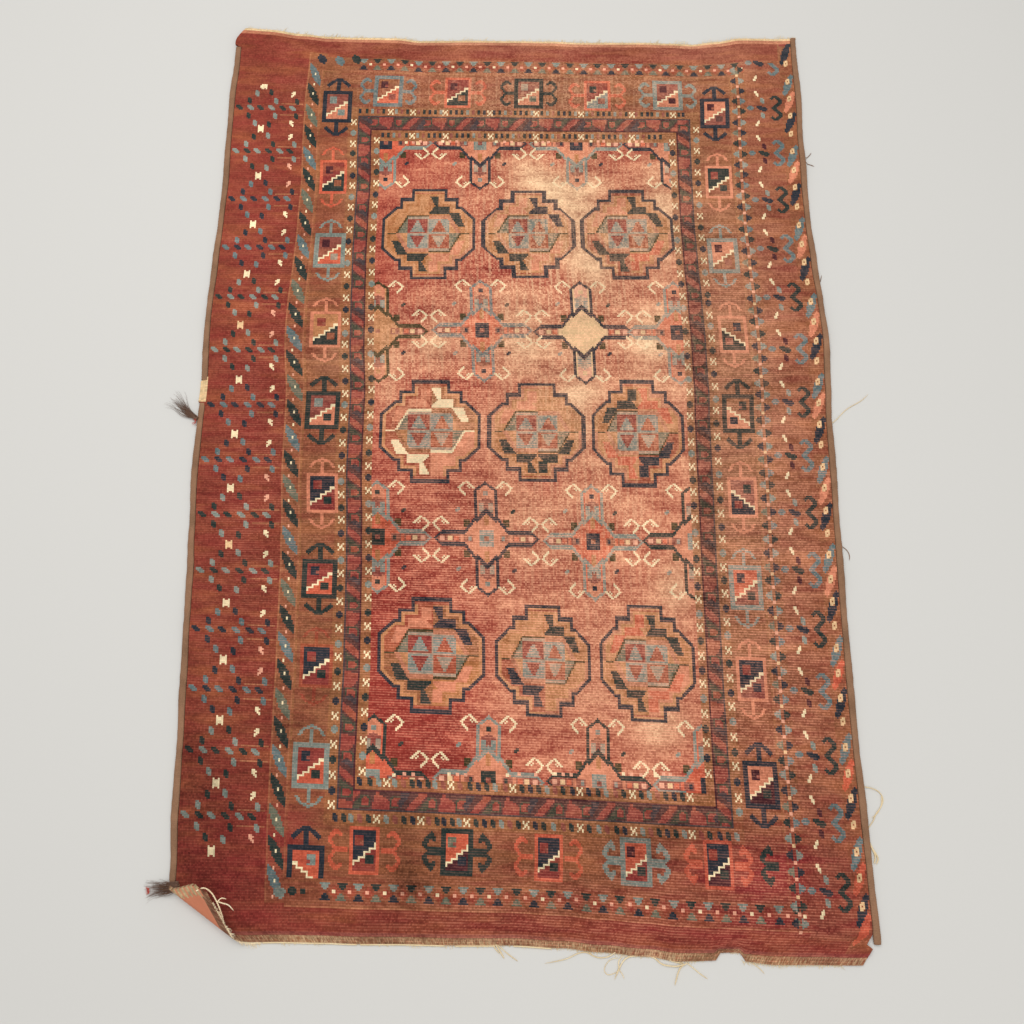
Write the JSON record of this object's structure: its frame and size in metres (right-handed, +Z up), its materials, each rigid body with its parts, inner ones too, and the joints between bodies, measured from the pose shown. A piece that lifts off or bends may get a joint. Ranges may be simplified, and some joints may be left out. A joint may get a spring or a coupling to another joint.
{
  "type": "turkmen rug",
  "caption": "Hand-knotted wool pile rug with stepped medallions in a bordered field, lying flat with one corner folded back over the pile.",
  "frame": {"origin": "on the underside where the rug lies on the floor, at the middle of the rug", "axes": "+Z up out of the pile, +Y along the warps towards the far end, +X across the rug towards its right-hand side; the folded corner is at -X, -Y"},
  "size_m": [1.2384, 1.7653, 0.0447],
  "materials": {
    "pile": "worn knotted wool pile in red, rust, navy, blue, orange and cream",
    "binding": "coarse brown overcast wool",
    "warp": "undyed cream wool yarn, frayed"
  },
  "bodies": {
    "root": {"rug_body": "pile", "selvedge_left_near": "binding", "selvedge_left_far": "binding", "selvedge_right": "binding", "fringe_far": "warp", "fringe_near": "warp", "fringe_near_right": "warp", "fringe_flap": "warp"}
  },
  "joints": []
}
